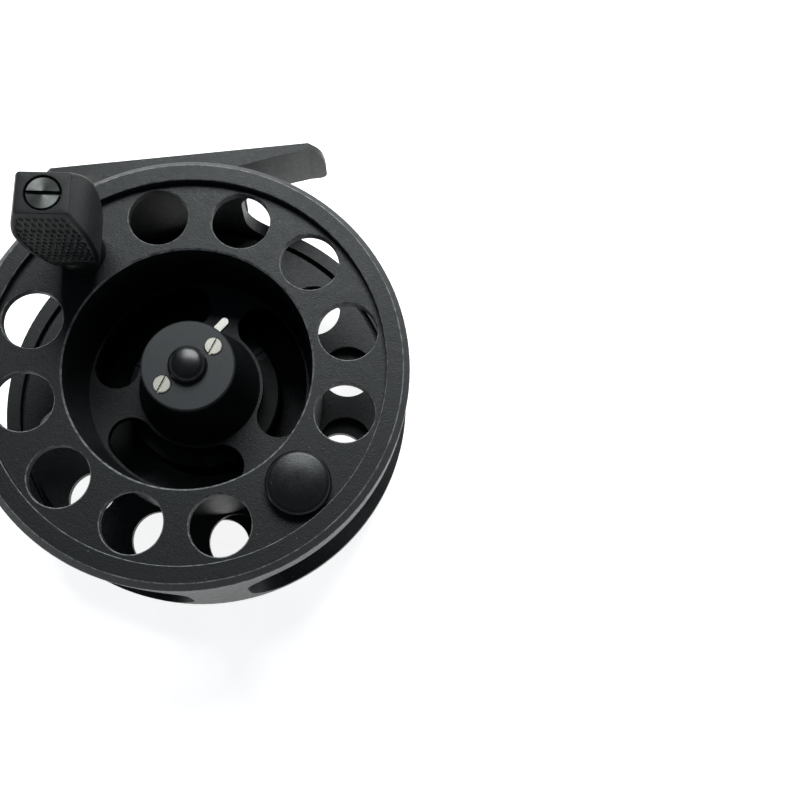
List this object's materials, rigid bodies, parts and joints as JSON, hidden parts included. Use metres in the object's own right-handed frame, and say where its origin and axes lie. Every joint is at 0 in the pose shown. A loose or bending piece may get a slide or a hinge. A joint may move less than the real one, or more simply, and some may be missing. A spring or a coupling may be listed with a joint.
{
  "type": "fly fishing reel",
  "caption": "Large-arbour fly reel: pierced spool with handle and counterweight on a spindle in a windowed frame, disc drag with rear knob, click and reel foot.",
  "frame": {"origin": "where the spindle axis meets the plane of the drag knob's outer face, the reel's lowest face when it lies on its back", "axes": "+Z along the spindle out of the spool's face, +Y towards the reel foot, +X along the foot"},
  "size_m": [0.092, 0.0978, 0.0714],
  "materials": {
    "black_anodised": "satin black anodised casting",
    "dark_grey_anodised": "satin dark grey anodised",
    "gloss_black_metal": "semi-gloss black",
    "gloss_black_plastic": "gloss black",
    "nickel_plate": "bright nickel",
    "dark_steel": "dark polished steel",
    "steel": "ground",
    "spring_steel": "bright drawn",
    "friction_composite": "matt woven composite",
    "bronze": "turned",
    "acetal": "smooth moulded"
  },
  "bodies": {
    "frame": {"frame": "black_anodised", "back_plate": "black_anodised", "drag_housing": "black_anodised", "reel_foot": "black_anodised", "foot_screws": "dark_steel", "spindle": "steel", "spindle_nut": "nickel_plate", "drag_spring": "spring_steel", "pressure_plate": "steel", "rear_friction_disc": "friction_composite", "front_friction_disc": "friction_composite", "housing_cover": "black_anodised", "cover_screws": "nickel_plate", "pawl_pin": "nickel_plate", "pawl_spring": "spring_steel", "sleeve_clip": "spring_steel"},
    "drag_knob": {"drag_knob": "dark_grey_anodised", "knob_cap": "dark_grey_anodised", "knob_screw": "nickel_plate"},
    "thrust_nut": {"thrust_nut": "bronze"},
    "click_pawl": {"click_pawl": "acetal"},
    "drag_rotor": {"drag_rotor": "steel", "clutch_shell": "steel", "clutch_rollers": "steel"},
    "drive_sleeve": {"drive_sleeve": "steel", "rear_bush": "bronze", "front_bearing": "steel", "ratchet_wheel": "steel"},
    "spool": {"spool": "black_anodised", "hub_cap": "dark_grey_anodised", "cap_screws": "nickel_plate", "hub_dome": "gloss_black_plastic", "latch_pin": "nickel_plate", "latch_spring": "spring_steel", "handle_post": "steel", "handle_washer": "acetal", "handle_screw": "dark_steel", "counterweight": "gloss_black_metal", "counterweight_screw": "nickel_plate"},
    "latch_lever": {"latch_lever": "nickel_plate"},
    "handle_knob": {"handle_knob": "dark_grey_anodised"}
  },
  "joints": [
    {"name": "drag_knob_turn", "type": "hinge", "parent": "frame", "child": "drag_knob", "pos_m": [0, 0, 0.004], "axis": [0, 0, 1], "range_deg": [0, 330]},
    {"name": "thrust_nut_slide", "type": "slide", "parent": "frame", "child": "thrust_nut", "axis": [0, 0, 1], "range_m": [0, 0.0009], "deforming": ["drag_spring"]},
    {"name": "drag_slip", "type": "hinge", "parent": "frame", "child": "drag_rotor", "pos_m": [0, 0, 0.01525], "axis": [0, 0, 1], "continuous": true},
    {"name": "spool_spin", "type": "hinge", "parent": "drag_rotor", "child": "drive_sleeve", "pos_m": [0, 0, 0.024], "axis": [0, 0, 1], "continuous": true},
    {"name": "spool_lift", "type": "slide", "parent": "drive_sleeve", "child": "spool", "axis": [0, 0, 1], "range_m": [0, 0.045]},
    {"name": "latch_swing", "type": "hinge", "parent": "spool", "child": "latch_lever", "pos_m": [-0.00348, -0.00091, 0.0411], "axis": [0, 0, 1], "range_deg": [0, 9.5], "stiffness_Nm_per_rad": 0.002, "springref_deg": -11.46, "deforming": ["latch_spring"]},
    {"name": "handle_spin", "type": "hinge", "parent": "spool", "child": "handle_knob", "pos_m": [-0.01939, 0.02689, 0.058], "axis": [0, 0, 1], "continuous": true},
    {"name": "pawl_swing", "type": "hinge", "parent": "frame", "child": "click_pawl", "pos_m": [-0.00247, 0.01398, 0.0214], "axis": [0, 0, 1], "range_deg": [0, 12], "stiffness_Nm_per_rad": 0.002, "springref_deg": -11.46, "deforming": ["pawl_spring"]}
  ],
  "couplings": [
    {"joint": "thrust_nut_slide", "follows": "drag_knob_turn", "m_per_rad": 0.0001512}
  ]
}
